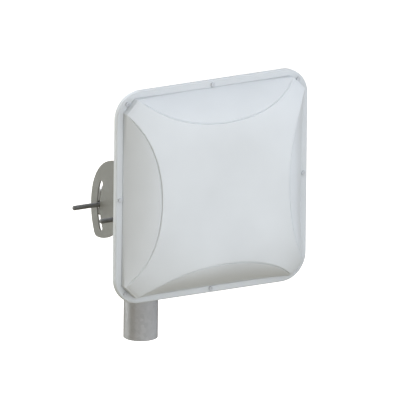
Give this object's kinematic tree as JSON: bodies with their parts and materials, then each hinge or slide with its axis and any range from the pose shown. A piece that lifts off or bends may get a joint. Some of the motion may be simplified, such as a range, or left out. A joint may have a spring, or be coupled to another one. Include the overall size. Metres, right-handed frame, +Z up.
{
  "type": "flat panel antenna",
  "caption": "Square flat-panel antenna with a domed plastic cover, held by a tilt bracket and a U-bolt clamp on a steel mast.",
  "frame": {"origin": "centre of the mast tube's lower end", "axes": "+Z up along the mast, the antenna faces -Y, and the tilt bracket is on the mast's -X side"},
  "size_m": [0.27, 0.1759, 0.342],
  "materials": {
    "mast_steel": "galvanised, mottled",
    "rod_steel": "dull zinc",
    "bracket_steel": "satin warm grey powder coat",
    "saddle_zinc": "pale passivated zinc",
    "zinc_steel": "bright zinc",
    "plate_aluminium": "brushed",
    "seal_rubber": "matte",
    "cover_plastic": "fine satin moulding",
    "cover_screw_steel": "stainless",
    "nylon": "natural nylon",
    "patch_brass": "rolled sheet",
    "nickel": "nickel plated",
    "ptfe": "waxy",
    "gold_brass": "gold plated",
    "black_plastic": "moulded"
  },
  "bodies": {
    "mast": {"mast_tube": "mast_steel", "mast_end_cap": "black_plastic"},
    "clamp": {"u_bolt": "rod_steel", "clamp_saddle": "saddle_zinc", "clamp_washers": "rod_steel", "clamp_nuts": "rod_steel", "pivot_washer": "rod_steel", "pivot_nut": "rod_steel"},
    "antenna": {"tilt_bracket": "bracket_steel", "bracket_bolts": "zinc_steel", "bracket_washers": "zinc_steel", "bracket_nuts": "zinc_steel", "back_plate": "plate_aluminium", "radome_gasket": "seal_rubber", "radome_cover": "cover_plastic", "radome_screws": "cover_screw_steel", "radome_inserts": "zinc_steel", "patch_posts": "nylon", "driven_patches": "patch_brass", "upper_spacers": "nylon", "parasitic_patches": "plate_aluminium", "patch_screws": "zinc_steel", "patch_nuts": "zinc_steel", "feed_network_a": "patch_brass", "feed_network_b": "patch_brass", "feed_spacers": "nylon", "rf_connectors": "nickel", "connector_gaskets": "seal_rubber", "connector_insulators": "ptfe", "connector_pins": "gold_brass", "connector_screws": "zinc_steel", "vent_plug": "black_plastic"}
  },
  "joints": [
    {"name": "azimuth_swivel", "type": "hinge", "parent": "mast", "child": "clamp", "pos_m": [0, 0, 0.1655], "axis": [0, 0, 1], "continuous": true},
    {"name": "tilt", "type": "hinge", "parent": "clamp", "child": "antenna", "pos_m": [-0.0415, -0.033, 0.1655], "axis": [1, 0, 0], "range_deg": [-25, 25]}
  ]
}
